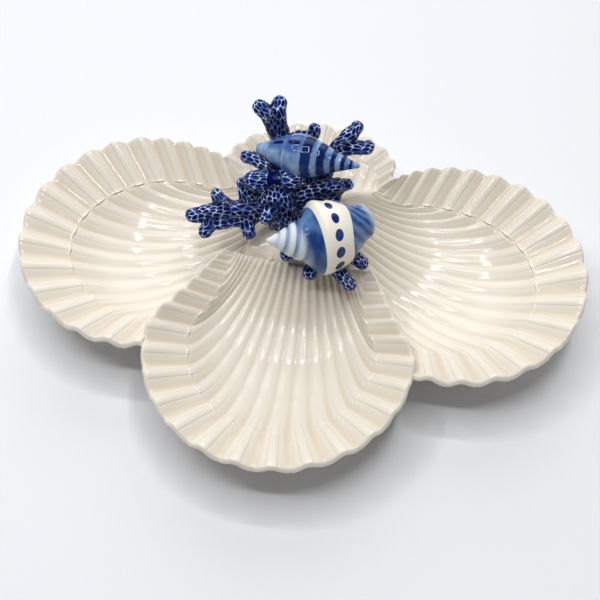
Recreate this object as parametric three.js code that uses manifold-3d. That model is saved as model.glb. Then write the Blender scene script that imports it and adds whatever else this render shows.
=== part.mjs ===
// A divided serving dish in glazed ceramic: fluted scallop bowls round a hub, with a coral and shell handle.
// Millimetres, +Z up. Pieces are made about the hub's axis with the front bowl towards -Y, and the finished
// group is moved so that its origin lies on the table, in the middle of the dish's outline.

import * as THREE from 'three';
import { LoftGeometry } from 'three/addons/geometries/LoftGeometry.js';
import { mergeVertices } from 'three/addons/utils/BufferGeometryUtils.js';
import Module from 'manifold-3d';

const wasm = await Module();
wasm.setup();

const { abs, cos, min, sin, sqrt, tan, PI } = Math;
const { clamp, degToRad, lerp } = THREE.MathUtils;

// Sizes shared by the whole dish
const seamGap = 0.3; // left between pieces that are luted together
const rimHeight = 42; // table to the mean height of the rims
const wall = 5; // thickness of the bowls
const lipReach = 2.4; // how far the rounded lip stands out past the rim's crest
const sideTurn = degToRad(17.2); // the side bowls' axes turn this far towards the front
const frontTurn = degToRad(2); // the front bowl is set a little askew, towards the left
const rearTurn = degToRad(4); // and so is the short one
const footWidth = 5;

// The large bowls, in a frame whose x axis runs from the hub out along the bowl
const largeBowl = {
  centre: 101.5, // hub to the middle of the rim's arc
  along: 80, // the rim's half length
  across: 80, // the rim's half width
  sweep: degToRad(145), // from the rim's outer end back to the hinge, each way
  drawnFrom: degToRad(95), // the rim is drawn in from here on
  waist: 8, // how far it is drawn in beside the hinge
  hinge: 36, // hub to the hinge line where the flutes start
  hingeHeight: 37,
  floorDrop: 33, // rim to the deepest part of the floor
  flange: 29, // width of the sloping border at the outer end
  flangeSlope: degToRad(23.5),
  sideSteepening: degToRad(12), // added to the border's slope beside the hinge
  fanSpread: degToRad(65), // how far the outermost flutes turn from the bowl's axis
  flutes: 28,
  crowding: 0.46, // how much closer the flutes stand beside the hinge: even at 0, and at most 0.5
  fluteDepth: 3, // crest to trough at the rim's outer end
  footAt: 100, // hub to the middle of the foot ring
  footRadius: 33,
};

// The short bowl behind the coral: it has no foot, and its neighbours and the boss carry it
const shortBowl = {
  centre: 36,
  along: 39,
  across: 59,
  sweep: degToRad(93),
  drawnFrom: degToRad(80),
  waist: 3,
  hinge: 31,
  hingeHeight: 38,
  floorDrop: 22,
  flange: 14,
  flangeSlope: degToRad(23.5),
  sideSteepening: degToRad(12),
  fanSpread: degToRad(72),
  flutes: 14,
  crowding: 0.2,
  fluteDepth: 2.4,
};

// How a flute runs from the hinge to the rim
const endBlend = 12; // power by which the outermost flutes turn straight from the hinge to the rim's end
const endRise = 4; // power by which the hinge line rises to the rim at its ends
const endNarrowing = 0.75; // share of the border's width that is gone at the rim's ends
const widestBorder = 0.6; // the border takes at most this share of a short flute
const curl = 0.08; // share of a flute's length over which it bends into the border
const shortFluteDip = 1.3; // power by which short flutes are shallower than the middle one
const innerDepth = 0.65; // depth of the flutes inside, as a share of that at the rim

// The mound at the hub: a hollow dome
const bossHeight = 48;
const bossReach = 60; // radius of the dome's edge, before the bowls cut into it
const bossFall = 16; // how far the dome drops from its top to its edge
const bossWall = 8;

// Coils of the coral: the line that each follows from its root, with the radius at its root and at its tip.
// Heights in these lines and in those of the shells are above the top of the boss.
const coralCoils = [
  {
    name: 'coral_trunk', root: 11, tip: 10,
    line: [[-10, -6, -8], [-17, -8, 6], [-20, -6, 19]],
  },
  {
    name: 'coral_rear_trunk', root: 7, tip: 6,
    line: [[-12, 12, -8], [-17, 19, 16], [-20, 25, 34], [-24, 29, 45]],
  },
  {
    name: 'coral_rear_left_tip', root: 5, tip: 4.7,
    line: [[-22, 27, 40], [-29, 32, 48], [-35, 35, 52]],
  },
  {
    name: 'coral_rear_right_tip', root: 5, tip: 5,
    line: [[-24, 29, 44], [-23, 34, 50], [-23, 38, 54]],
  },
  {
    name: 'coral_rear_spur', root: 4.6, tip: 3,
    line: [[-18, 24, 29], [-12, 31, 32], [-5, 35, 31]],
  },
  {
    name: 'coral_back_branch', root: 5, tip: 4,
    line: [[0, 18, -8], [-3, 30, 16], [-1, 41, 30]],
  },
  {
    name: 'coral_right_rear_branch', root: 6, tip: 4.5,
    line: [[4, 10, -8], [8, 16, 14], [17, 26, 35], [26, 34, 43]],
  },
  {
    name: 'coral_right_rear_tip', root: 5, tip: 4.6,
    line: [[14, 22, 30], [21, 24, 34], [34, 27, 34]],
  },
  {
    name: 'coral_knob', root: 7, tip: 7,
    line: [[-32, -6, 30], [-20, -3, 29], [-9, -1, 30]],
  },
  {
    name: 'coral_upper_left_branch', root: 5, tip: 4.5,
    line: [[-16, 2, 18], [-25, 7, 27], [-34, 11, 30], [-40, 13, 29]],
  },
  {
    name: 'coral_right_branch', root: 5.5, tip: 4.6,
    line: [[-12, -4, 14], [4, 0, 20], [18, 4, 23]],
  },
  {
    name: 'coral_right_small_tip', root: 4.6, tip: 4,
    line: [[8, 0, 18], [16, 4, 17], [24, 8, 19]],
  },
  {
    name: 'coral_right_lower_branch', root: 5, tip: 4.2,
    line: [[-8, -5, 8], [6, -3, 12], [17, 1, 12]],
  },
  {
    name: 'coral_left_branch', root: 6.5, tip: 5,
    line: [[-12, -8, 12], [-36, -16, 14], [-55, -19, 12], [-69, -22, 9]],
  },
  {
    name: 'coral_left_fork', root: 5, tip: 4.6,
    line: [[-28, -15, 11], [-46, -23, 9], [-56, -25, 7], [-60, -30, 5]],
  },
  {
    name: 'coral_left_spur', root: 4.5, tip: 4,
    line: [[-47, -17, 13], [-53, -13, 16], [-56, -10, 17]],
  },
  {
    name: 'coral_left_rear_spur', root: 4.8, tip: 4,
    line: [[-31, -14, 14], [-38, -9, 20], [-40, -4, 24]],
  },
  {
    name: 'coral_left_front_spur', root: 5, tip: 4.4,
    line: [[-32, -15, 13], [-34, -24, 8], [-33, -28, 5]],
  },
  {
    name: 'coral_middle_tip', root: 4.6, tip: 4,
    line: [[-16, -9, 15], [-21, -19, 18], [-23, -24, 17]],
  },
  {
    name: 'coral_front_left_tip', root: 5, tip: 4.4,
    line: [[2, -20, -4], [-3, -30, 0], [-8, -37, -1]],
  },
  {
    name: 'coral_front_tip', root: 5, tip: 4.6,
    line: [[8, -18, -5], [10, -36, -1], [8, -48, -2]],
  },
  {
    name: 'coral_front_right_tip', root: 5.5, tip: 4.6,
    line: [[16, -18, -5], [20, -38, 0], [33, -52, -3]],
  },
  {
    name: 'coral_far_right_tip', root: 5, tip: 4.6,
    line: [[22, -16, -5], [28, -30, 1], [39, -37, 0]],
  },
];

// The slim shell on top: the line of its axis from the open end to the apex, with radii at even shares of it
const spindleLine = [[-33.6, 14.9, 36.6], [-1, 9, 40], [31.6, 3.1, 43.4]];
const spindleRadii = [2.6, 6.5, 10.5, 13.2, 13, 10.5, 7, 3.8, 1];
const spindleWhorls = 6;
const spindleGroove = 0.05; // depth of the spiral groove, as a share of the radius

// The broad shell in front: from the apex to the drawn-out end of its mouth
const whelkLine = [[-18.5, -47.5, 25.6], [11.4, -36.9, 20], [41.3, -14.6, 16.9]];
const whelkRadii = [1, 5.6, 10.6, 13.9, 22.6, 22.2, 20.2, 16.1, 11.1, 7];
const whelkWhorls = 6;
const whelkGroove = 0.09;

// Mesh steps
const stepsPerFlute = 3;
const insideShares = [0, 0.22, 0.48, 0.75, 1]; // from the hinge to the border
const footSides = 18;
const bossSides = 24;
const coilSides = 8;
const coilRings = 3;
const endRings = 2;
const shellSides = 14;
const shellRings = 20;

// Colours
const cream = new THREE.MeshStandardMaterial({ color: 0xf0e8da, roughness: 0.12 });
const coralBlue = new THREE.MeshStandardMaterial({ color: 0x24408f, roughness: 0.15 });
const shellBlue = new THREE.MeshStandardMaterial({ color: 0x7ea2cf, roughness: 0.12 });
const shellWhite = new THREE.MeshStandardMaterial({ color: 0xeef0ee, roughness: 0.12 });

// A closed body skinned over rings of points, with its ends capped, as a solid that can be joined and cut
function skin(rings) {
  return toSolid(new LoftGeometry(rings, { closed: true, capStart: true, capEnd: true }));
}

function toSolid(geometry) {
  const bare = new THREE.BufferGeometry();
  bare.setAttribute('position', geometry.attributes.position);
  bare.setIndex(geometry.index);
  const merged = mergeVertices(bare, 1e-4);
  return new wasm.Manifold(new wasm.Mesh({
    numProp: 3,
    vertProperties: new Float32Array(merged.attributes.position.array),
    triVerts: new Uint32Array(merged.index.array),
  }));
}

// The largest body of a solid, because a cut can leave slivers on the far side as offcuts
function largestBody(solid) {
  const bodies = solid.decompose();
  return bodies.reduce((best, body) => (body.volume() > best.volume() ? body : best));
}

function toMesh(name, solid, material) {
  const { vertProperties, numProp, triVerts } = solid.getMesh();
  const geometry = new THREE.BufferGeometry();
  geometry.setAttribute('position', new THREE.Float32BufferAttribute(vertProperties, numProp));
  geometry.setIndex(Array.from(triVerts));
  geometry.computeVertexNormals();
  const mesh = new THREE.Mesh(geometry, material);
  mesh.name = name;
  return mesh;
}

function smoothLine(points) {
  return new THREE.CatmullRomCurve3(points.map(([x, y, rise]) => new THREE.Vector3(x, y, bossHeight + rise)));
}

// The value at share t of a row of even steps, eased between its neighbours
function along(values, t) {
  const curve = new THREE.SplineCurve(values.map((value, i) => new THREE.Vector2(i, value)));
  return curve.getPoint(t).y;
}

// The place round the rim, from -1 to 1, of the flute at share s of all of them, and its width as a share of
// the middle one's
function placeOf(bowl, s) {
  return s * (1 + bowl.crowding * (1 - s ** 2));
}

function widthOf(bowl, s) {
  return (1 + bowl.crowding * (1 - 3 * s ** 2)) / (1 + bowl.crowding);
}

// Where the flute at a place of the rim starts, bends and ends in plan
function fluteLine(bowl, place) {
  const angle = place * bowl.sweep;
  const drawn = clamp((abs(angle) - bowl.drawnFrom) / (bowl.sweep - bowl.drawnFrom), 0, 1);
  const waist = bowl.waist * sin(PI * drawn);
  const rim = new THREE.Vector2(
    bowl.centre + (bowl.along - waist) * cos(angle),
    (bowl.across - waist) * sin(angle),
  );
  const hinge = new THREE.Vector2(bowl.hinge, place * (bowl.across * sin(bowl.sweep) - wall));
  const straight = rim.clone().sub(hinge).normalize();
  const nearEnd = place ** endBlend;
  const turn = bowl.fanSpread * sin(place * PI / 2);
  const out = new THREE.Vector2(cos(turn), sin(turn)).lerp(straight, nearEnd).normalize();
  const square = new THREE.Vector2(cos(angle) / bowl.along, sin(angle) / bowl.across).normalize();
  const edge = square.lerp(straight, nearEnd).normalize();
  const fullBorder = bowl.flange * (1 - endNarrowing * abs(place) ** 3);
  const flange = min(fullBorder, widestBorder * rim.distanceTo(hinge));
  const growth = rim.clone().addScaledVector(out, -flange);
  const length = growth.distanceTo(hinge);
  const bend = growth.clone().addScaledVector(out, -curl * length);
  const slope = bowl.flangeSlope + bowl.sideSteepening * abs(place);
  return { rim, edge, out, flange, growth, hinge, bend, length, slope };
}

// A point of the bowl's inside without its flutes: share u runs from the hinge to the border
function bowlPoint(bowl, line, place, u) {
  const plan = new THREE.QuadraticBezierCurve(line.hinge, line.bend, line.growth).getPointAt(u);
  const growthHeight = rimHeight - line.flange * tan(line.slope);
  const hingeHeight = lerp(bowl.hingeHeight, rimHeight - 1, place ** endRise);
  const middleGrowth = rimHeight - bowl.flange * tan(bowl.flangeSlope);
  const middleDip = (bowl.hingeHeight + middleGrowth) / 2 - (rimHeight - bowl.floorDrop);
  const shorter = line.length / fluteLine(bowl, 0).length;
  const dip = middleDip * shorter ** shortFluteDip;
  const height = lerp(hingeHeight, growthHeight, u) - dip * 4 * u * (1 - u);
  return new THREE.Vector3(plan.x, plan.y, height);
}

// One closed cross-section of a bowl along a flute: inside, border, rounded lip and smooth outer wall.
// With room above zero it is the section of all the space above the bowl's outer wall, widened by that room.
function bowlSection(bowl, s, room) {
  const place = placeOf(bowl, s);
  const line = fluteLine(bowl, place);
  const wave = -cos(PI * bowl.flutes * s) * bowl.fluteDepth / 2 * sqrt(widthOf(bowl, s));
  const raised = (u, rise) => {
    const point = bowlPoint(bowl, line, place, u);
    return point.setZ(point.z + rise);
  };
  const rimPoint = (reach, rise) => {
    const back = wave * sin(line.slope);
    return new THREE.Vector3(
      line.rim.x + line.edge.x * reach - line.out.x * back,
      line.rim.y + line.edge.y * reach - line.out.y * back,
      rimHeight + rise + wave * cos(line.slope),
    );
  };
  const lip = [
    rimPoint(lipReach + room, -0.3 * wall),
    rimPoint(0.8 * lipReach + room, -0.85 * wall - room),
  ];
  const drop = wall / cos(line.slope) + room;
  const under = insideShares.map((u) => raised(u, -drop)).reverse();
  under.at(-1).x -= room;
  if (room > 0) {
    const sky = 3 * rimHeight;
    const overHinge = under.at(-1).clone().setZ(sky);
    const overLip = lip[0].clone().setZ(sky);
    return [overHinge, overLip, ...lip, ...under];
  }
  const inside = insideShares.map((u) => raised(u, innerDepth * wave));
  return [...inside, rimPoint(0, 0), ...lip, ...under];
}

function bowlSkin(bowl, room) {
  const steps = bowl.flutes * stepsPerFlute;
  const rings = [];
  for (let i = 0; i <= steps; i += 1) {
    rings.push(bowlSection(bowl, -1 + 2 * i / steps, room));
  }
  if (room > 0) {
    rings.unshift(pastEnd(rings[0], rings[1], room));
    rings.push(pastEnd(rings.at(-1), rings.at(-2), room));
  }
  return skin(rings);
}

// A copy of an end ring, moved on squarely past the end by more than the room
function pastEnd(ring, neighbour, room) {
  const ridge = ring[1].clone().sub(ring[0]).setZ(0);
  const way = new THREE.Vector3(0, 0, 1).cross(ridge).setLength(2 * room);
  const onward = ring[2].clone().sub(neighbour[2]);
  const sign = Math.sign(way.dot(onward));
  return ring.map((point) => point.clone().addScaledVector(way, sign));
}

// A turned ring that stands on the table and runs up into the bowl's floor
function footRing(bowl) {
  const inner = bowl.footRadius - footWidth / 2;
  const outer = bowl.footRadius + footWidth / 2;
  const profile = [[inner, 0], [outer, 0], [outer, rimHeight], [inner, rimHeight], [inner, 0]];
  const ring = new THREE.LatheGeometry(profile.map((point) => new THREE.Vector2(...point)), footSides);
  ring.rotateX(PI / 2);
  ring.translate(bowl.footAt, 0, 0);
  const upToWall = bowlSkin(bowl, seamGap).translate([0, 0, seamGap + wall / 2]);
  return toSolid(ring).subtract(upToWall);
}

// A bowl turned to face away from the hub, and the space that its neighbours keep clear of
function placeBowl(bowl, heading) {
  const turn = [0, 0, THREE.MathUtils.radToDeg(heading)];
  const body = bowlSkin(bowl, 0);
  const standing = bowl.footRadius ? body.add(footRing(bowl)) : body;
  return { solid: standing.rotate(turn), space: bowlSkin(bowl, seamGap).rotate(turn) };
}

// The dome's outer height at a radius, and the dome as a solid of a given wall, lifted for a seat
function domeHeight(radius) {
  return bossHeight - bossFall * (radius / bossReach) ** 2;
}

function domeSolid(thickness, lift) {
  const shares = [0, 0.3, 0.6, 0.8, 1];
  const outer = shares.map((share) => [share * bossReach, domeHeight(share * bossReach) + lift]);
  const inner = outer.map(([radius, height]) => [radius, height - thickness]).reverse();
  const profile = [...inner, ...outer].map((point) => new THREE.Vector2(...point));
  const bottomUp = profile.slice(0, shares.length).reverse();
  const rest = profile.slice(shares.length).reverse();
  const dome = new THREE.LatheGeometry([...bottomUp, ...rest], bossSides);
  dome.rotateX(PI / 2);
  return toSolid(dome);
}

// A ring of points round a curve at share t
function ringRound(curve, frames, step, t, sides, radiusAt, slide) {
  const middle = curve.getPointAt(t).addScaledVector(frames.tangents[step], slide);
  const ring = [];
  for (let j = 0; j < sides; j += 1) {
    const angle = 2 * PI * j / sides;
    const radius = radiusAt(angle);
    ring.push(middle.clone()
      .addScaledVector(frames.normals[step], radius * cos(angle))
      .addScaledVector(frames.binormals[step], radius * sin(angle)));
  }
  return ring;
}

// A rolled coil of clay: a tapering tube with rounded ends, widened by the room that its neighbours keep
function coilSolid({ line, root, tip }, room) {
  const curve = smoothLine(line);
  const frames = curve.computeFrenetFrames(coilRings);
  const rings = [];
  const addRound = (step, radius, outwards) => {
    for (let k = 1; k <= endRings; k += 1) {
      const turn = (outwards ? k : endRings + 1 - k) / (endRings + 0.4) * PI / 2;
      const slide = radius * sin(turn) * (outwards ? 1 : -1);
      const radiusAt = () => radius * cos(turn);
      rings.push(ringRound(curve, frames, step, step / coilRings, coilSides, radiusAt, slide));
    }
  };
  addRound(0, root + room, false);
  for (let step = 0; step <= coilRings; step += 1) {
    const radius = lerp(root, tip, step / coilRings) + room;
    rings.push(ringRound(curve, frames, step, step / coilRings, coilSides, () => radius, 0));
  }
  addRound(coilRings, tip + room, true);
  return skin(rings);
}

// A sea shell: a tube whose radius follows its profile, with a groove that winds round it once for each whorl
function shellSolid(line, radii, whorls, groove, room) {
  const curve = smoothLine(line);
  const frames = curve.computeFrenetFrames(shellRings);
  const rings = [];
  for (let step = 0; step <= shellRings; step += 1) {
    const t = step / shellRings;
    const radiusAt = (angle) => {
      const phase = 2 * PI * whorls * t - angle;
      const narrow = (0.5 + 0.5 * cos(phase)) ** 2;
      return along(radii, t) * (1 - groove * narrow) + room;
    };
    rings.push(ringRound(curve, frames, step, t, shellSides, radiusAt, 0));
  }
  return skin(rings);
}

// Bowls: the front and rear ones are whole, and the side ones run up to their outer walls
const front = placeBowl(largeBowl, -PI / 2 - frontTurn);
const rear = placeBowl(shortBowl, PI / 2 + rearTurn);
const left = placeBowl(largeBowl, PI + sideTurn);
const right = placeBowl(largeBowl, -sideTurn);
const ends = front.space.add(rear.space);
const pieces = [
  { name: 'front_dish', solid: front.solid, material: cream },
  { name: 'rear_dish', solid: rear.solid, material: cream },
  { name: 'left_dish', solid: left.solid.subtract(ends), material: cream },
  { name: 'right_dish', solid: right.solid.subtract(ends), material: cream },
];

// The boss fills the middle, and everything above is luted to it or to a piece before it in the list
const bowlSpaces = ends.add(left.space).add(right.space);
pieces.push({ name: 'centre_boss', solid: domeSolid(bossWall, 0).subtract(bowlSpaces), material: cream });
let taken = domeSolid(bossHeight, seamGap);

const spindle = [spindleLine, spindleRadii, spindleWhorls, spindleGroove];
const whelk = [whelkLine, whelkRadii, whelkWhorls, whelkGroove];
const shells = [
  { name: 'spindle_shell', shape: spindle, material: shellBlue },
  { name: 'whelk_shell', shape: whelk, material: shellWhite },
];
for (const { name, shape, material } of shells) {
  pieces.push({ name, solid: shellSolid(...shape, 0).subtract(taken), material });
  taken = taken.add(shellSolid(...shape, seamGap));
}
for (const coil of coralCoils) {
  pieces.push({ name: coil.name, solid: coilSolid(coil, 0).subtract(taken), material: coralBlue });
  taken = taken.add(coilSolid(coil, seamGap));
}

const dish = new THREE.Group();
for (const { name, solid, material } of pieces) {
  dish.add(toMesh(name, largestBody(solid), material));
}
const outline = new THREE.Box3().setFromObject(dish);
const middle = outline.getCenter(new THREE.Vector3());
dish.position.set(-middle.x, -middle.y, -outline.min.z);

export default dish;
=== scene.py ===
# %% [markdown]
# # A divided serving dish of scallop shells, with a coral and sea-shell handle
# The real dish is glazed ceramic: four fluted shells meet at a hub, and coils of coral carry two sea shells
# over it as a handle. The CAD solids could stay and only get better finishes, but flutes, pitted coral and
# whorls need finer surfaces. So each piece is made again as a function of two parameters, worked out for
# whole arrays at once.

from math import atan2, cos, pi, radians, sin, tan

import bpy
import numpy as np
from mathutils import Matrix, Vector


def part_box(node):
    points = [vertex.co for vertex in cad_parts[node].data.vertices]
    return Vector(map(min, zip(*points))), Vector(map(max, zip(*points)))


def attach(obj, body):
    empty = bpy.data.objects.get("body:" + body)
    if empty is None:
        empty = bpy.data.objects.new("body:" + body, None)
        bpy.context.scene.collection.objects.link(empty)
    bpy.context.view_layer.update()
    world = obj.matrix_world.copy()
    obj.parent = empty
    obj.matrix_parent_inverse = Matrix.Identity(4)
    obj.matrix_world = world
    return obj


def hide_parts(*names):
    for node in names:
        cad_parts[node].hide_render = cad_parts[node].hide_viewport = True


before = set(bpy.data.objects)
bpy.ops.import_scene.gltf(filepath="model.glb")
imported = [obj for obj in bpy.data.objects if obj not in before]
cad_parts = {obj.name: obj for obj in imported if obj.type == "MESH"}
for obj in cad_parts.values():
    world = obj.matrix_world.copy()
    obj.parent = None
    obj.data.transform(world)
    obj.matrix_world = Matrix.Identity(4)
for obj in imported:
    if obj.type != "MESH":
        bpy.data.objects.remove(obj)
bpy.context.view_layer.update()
MM = 0.001
print(len(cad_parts), "CAD nodes")

# %% [markdown]
# ## Sizes
# Shells come out of a few moulds, so a few sizes drive the dish. They could be measured off the CAD meshes,
# but named sizes are easier to follow, so only the hub's place and the mound's height are. All are
# millimetres about the hub. A bowl's centre is the middle of its rim, along and across are the rim's half
# sizes, and the waist draws it in. Flutes fan out from the hinge line, and a border slopes up outside the
# growth line.

# %% Sizes
WALL = 5.0
RIM_HEIGHT = 42.0
FOOT_WIDTH = 5.0
SIDE_TURN = radians(17.2)
FRONT_TURN = radians(2)
REAR_TURN = radians(6)

LARGE_BOWL = dict(
    centre=101.5, along=80.0, across=80.0, sweep=radians(145), drawn_from=radians(95), waist=8.0, hinge=36.0,
    hinge_height=37.0, floor_drop=33.0, border=29.0, flutes=28, crowding=0.46, depth=3.0, narrowing=0.75,
    thread=1.0, foot_at=100.0, foot_radius=33.0,
)
SIDE_BOWL = dict(LARGE_BOWL, narrowing=0.35, waist=2.0, hinge=27.0, hinge_height=38.5)
RIGHT_BOWL = dict(SIDE_BOWL, waist=-1.0)
SHORT_BOWL = dict(
    centre=36.0, along=39.0, across=55.5, sweep=radians(104), drawn_from=radians(80), waist=3.0, hinge=20.0,
    hinge_height=38.0, floor_drop=14.0, border=14.0, flutes=14, crowding=0.2, depth=2.4, narrowing=0.6,
    thread=0.2,
)
MOUND_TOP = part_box("centre_boss")[1][2] / MM


def foot_middle(node):
    """The middle of a CAD node's underside, in millimetres."""
    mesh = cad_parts[node].data
    points = np.empty(len(mesh.vertices) * 3)
    mesh.vertices.foreach_get("co", points)
    points = points.reshape(-1, 3) / MM
    low = points[points[:, 2] < 0.1]
    return (low.min(axis=0) + low.max(axis=0)) / 2


def hub_place():
    """The hub lies between the side feet, behind them by the share that their axes turn to the front."""
    middle = (foot_middle("left_dish") + foot_middle("right_dish")) / 2
    return middle + [0, LARGE_BOWL["foot_at"] * sin(SIDE_TURN), 0]


HUB = hub_place()
print("hub at", HUB.round(2), "mm, mound", round(MOUND_TOP, 2), "mm high")

# %% [markdown]
# ## From arrays to pieces
# Every piece is a thing with one closed skin, so one way of making meshes serves them all: a grid of points
# whose rows are closed rings, with the first and last ring filled in. A Solidify modifier could thicken a
# sheet, but a ring that already runs round the whole section needs none.


# %% Faces of a tube
def grid_faces(rows, around):
    """Quads of a grid of points whose rows close on themselves."""
    row = np.arange(rows - 1)[:, None] * around
    here = np.arange(around)
    ahead = (here + 1) % around
    quads = np.dstack([row + here, row + ahead, row + around + ahead, row + around + here])
    return quads.reshape(-1, 4)


def tube_faces(rows, around):
    """A closed tube: its quads, and its first and last rows as end faces."""
    first = np.arange(around)[None, ::-1]
    last = (rows - 1) * around + np.arange(around)[None, :]
    return [grid_faces(rows, around), first, last]


def outward(points, faces):
    """The faces, turned over if the volume that the quads enclose comes out negative."""
    corner = points[faces[0]]
    middle = corner.mean(axis=1)
    face_normal = np.cross(corner[:, 2] - corner[:, 0], corner[:, 3] - corner[:, 1])
    if (middle * face_normal).sum() >= 0:
        return faces
    return [part[:, ::-1] for part in faces]


print(len(grid_faces(3, 4)), "quads in a tube of 3 rings of 4 points")


# %% Meshes and pieces
def make_mesh(name, points, faces, attributes):
    """A smooth-shaded mesh in metres from points in millimetres about the hub."""
    faces = outward(points - points.mean(axis=0), faces)
    corners = np.hstack([part.ravel() for part in faces])
    counts = np.hstack([np.full(len(part), part.shape[1]) for part in faces])
    starts = np.hstack([0, np.cumsum(counts)[:-1]])
    mesh = bpy.data.meshes.new(name)
    mesh.vertices.add(len(points))
    mesh.vertices.foreach_set("co", ((points + HUB) * MM).ravel())
    mesh.loops.add(len(corners))
    mesh.loops.foreach_set("vertex_index", corners)
    mesh.polygons.add(len(counts))
    mesh.polygons.foreach_set("loop_start", starts)
    mesh.update(calc_edges=True)
    for key, values in attributes.items():
        layer = mesh.attributes.new(key, "FLOAT", "POINT")
        layer.data.foreach_set("value", np.asarray(values, float).ravel())
    mesh.shade_smooth()
    return mesh


def tube_mesh(name, rings, attributes):
    """A closed mesh from rows of rings."""
    return make_mesh(name, rings.reshape(-1, 3), tube_faces(*rings.shape[:2]), attributes)


def add_object(name, data):
    """A new object in the scene."""
    made = bpy.data.objects.new(name, data)
    bpy.context.scene.collection.objects.link(made)
    return made


def add_piece(node, mesh, material):
    """The finished piece that stands for a CAD node."""
    piece = add_object("fine_" + node, mesh)
    mesh.materials.clear()
    mesh.materials.append(material)
    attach(piece, "root")
    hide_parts(node)
    print(node, len(mesh.vertices), "points")


# %% Small sums
def unit(vectors):
    """Vectors of length one."""
    return vectors / np.linalg.norm(vectors, axis=-1, keepdims=True)


def mix(a, b, share):
    """From a to b by a share."""
    return a + (b - a) * share


def even_turns(count):
    """Even turns round a circle."""
    return np.linspace(0, 2 * pi, count, endpoint=False)


def ease(low, high, value):
    """A smooth step from 0 at low to 1 at high."""
    share = np.clip((value - low) / (high - low), 0, 1)
    return share * share * (3 - 2 * share)


print("a smooth step, a quarter of the way:", ease(0, 1, 0.25))

# %% [markdown]
# ## Shader expressions
# Painted glaze is mostly arithmetic: where a line runs, how far a dot reaches, how two washes mix. Nodes
# could be linked one by one, but sums read better as sums. So a socket can stand in Python arithmetic, and
# each operation adds one Math node.


# %% Shader expressions
class Socket:
    """An output of a shader node that can stand in an expression."""

    def __init__(self, tree, output):
        self.tree = tree
        self.output = output

    def node(self, kind, settings, inputs, output=0):
        """Adds a node with these settings and inputs, and gives one of its outputs."""
        made = self.tree.nodes.new(kind)
        for key, value in settings.items():
            setattr(made, key, value)
        for key, value in inputs.items():
            if isinstance(value, Socket):
                self.tree.links.new(value.output, made.inputs[key])
            else:
                made.inputs[key].default_value = value
        return Socket(self.tree, made.outputs[output] if made.outputs else None)

    def math(self, operation, *values):
        """One Math node."""
        return self.node("ShaderNodeMath", {"operation": operation}, dict(enumerate(values)))

    def __add__(self, other):
        return self.math("ADD", self, other)

    def __sub__(self, other):
        return self.math("SUBTRACT", self, other)

    def __rsub__(self, other):
        return self.math("SUBTRACT", other, self)

    def __mul__(self, other):
        return self.math("MULTIPLY", self, other)

    def __pow__(self, other):
        return self.math("POWER", self, other)

    __radd__ = __add__
    __rmul__ = __mul__

    def step(self, low, high):
        """A smooth step from 0 at low to 1 at high."""
        settings = {"interpolation_type": "SMOOTHSTEP"}
        return self.node("ShaderNodeMapRange", settings, {0: self, 1: low, 2: high})

    def between(self, low, high, soft):
        """One from low to high, with soft edges."""
        return self.step(low - soft, low + soft) * (1 - self.step(high - soft, high + soft))

    def blend(self, first, second):
        """The first colour where this is 0, the second where it is 1."""
        settings = {"data_type": "RGBA"}
        return self.node("ShaderNodeMix", settings, {0: self, 6: first, 7: second}, output=2)


# %% Parts of a glaze
def new_glaze(name):
    """An empty node material, and a socket from which its nodes are added."""
    material = bpy.data.materials.new(name)
    material.use_nodes = True
    material.node_tree.nodes.clear()
    return material, Socket(material.node_tree, None)


def attribute(shader, name):
    """A value stored on the mesh's points."""
    return shader.node("ShaderNodeAttribute", {"attribute_name": name}, {}, output="Fac")


def noise(shader, scale):
    """Soft noise over the object, from 0 to 1, with this many waves in a metre."""
    place = shader.node("ShaderNodeTexCoord", {}, {}, output="Object")
    return shader.node("ShaderNodeTexNoise", {}, {"Vector": place, "Scale": scale, "Detail": 2.0})


def finish_glaze(shader, colour, roughness, gloss, height=None, bump=0.0):
    """A fired glaze of this colour, with a bump of this many millimetres where it has a height."""
    inputs = {"Base Color": colour, "Roughness": roughness, "IOR": 1.48, "Specular IOR Level": gloss}
    if height is not None:
        settings = {"Height": height, "Strength": 1.0, "Distance": bump * MM}
        inputs["Normal"] = shader.node("ShaderNodeBump", {}, settings)
    surface = shader.node("ShaderNodeBsdfPrincipled", {}, inputs)
    shader.node("ShaderNodeOutputMaterial", {}, {"Surface": surface})


def rgb(red, green, blue):
    """A colour as it is seen on a screen, 0 to 255, in linear light."""
    seen = np.array([red, green, blue]) / 255
    linear = np.where(seen < 0.04045, seen / 12.92, ((seen + 0.055) / 1.055) ** 2.4)
    return (*linear, 1.0)


print("middle grey in linear light:", round(rgb(128, 128, 128)[0], 3))

# %% [markdown]
# ## Cream glaze
# The bowls have a warm white glaze that runs off the crests and pools, darker, in the valleys between the
# flutes. Ambient occlusion could find the valleys, but the mesh knows them, so each point carries a value
# that is partly glaze pooling and partly painted shade: darker in the valleys, on the fine lines and in the
# groove, and on the mound an even painted shade. A faint ripple keeps the glints from looking machined.


# %% Cream glaze
def cream_glaze():
    """Warm white that turns to beige with the value of pooling and painted shade, and a little with a cloud.
    """
    material, shader = new_glaze("cream_glaze")
    pooling_and_shade = attribute(shader, "pooling_and_shade")
    cloud = noise(shader, 30.0)
    # beige where the glaze pools and where shade is painted: valleys, fine lines, the groove and the mound
    colour = (pooling_and_shade * 0.75 + cloud * 0.2).blend(rgb(232, 226, 215), rgb(205, 188, 163))
    ripple = noise(shader, 55.0)
    finish_glaze(shader, colour, 0.13, 0.4, ripple, 0.12)
    return material


CREAM = cream_glaze()
print(CREAM.name, len(CREAM.node_tree.nodes), "nodes")

# %% [markdown]
# ## Flutes
# A pressed shell has flutes that start on its straight hinge, bend into a fan and end in the scallops of the
# rim. Displacement could carve them, but they would not bend with the shell. So one parameter is the share s
# across the rim, from -1 to 1, and a flute is a line of constant s. Steps are closest on its fine drawn
# lines.

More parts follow.
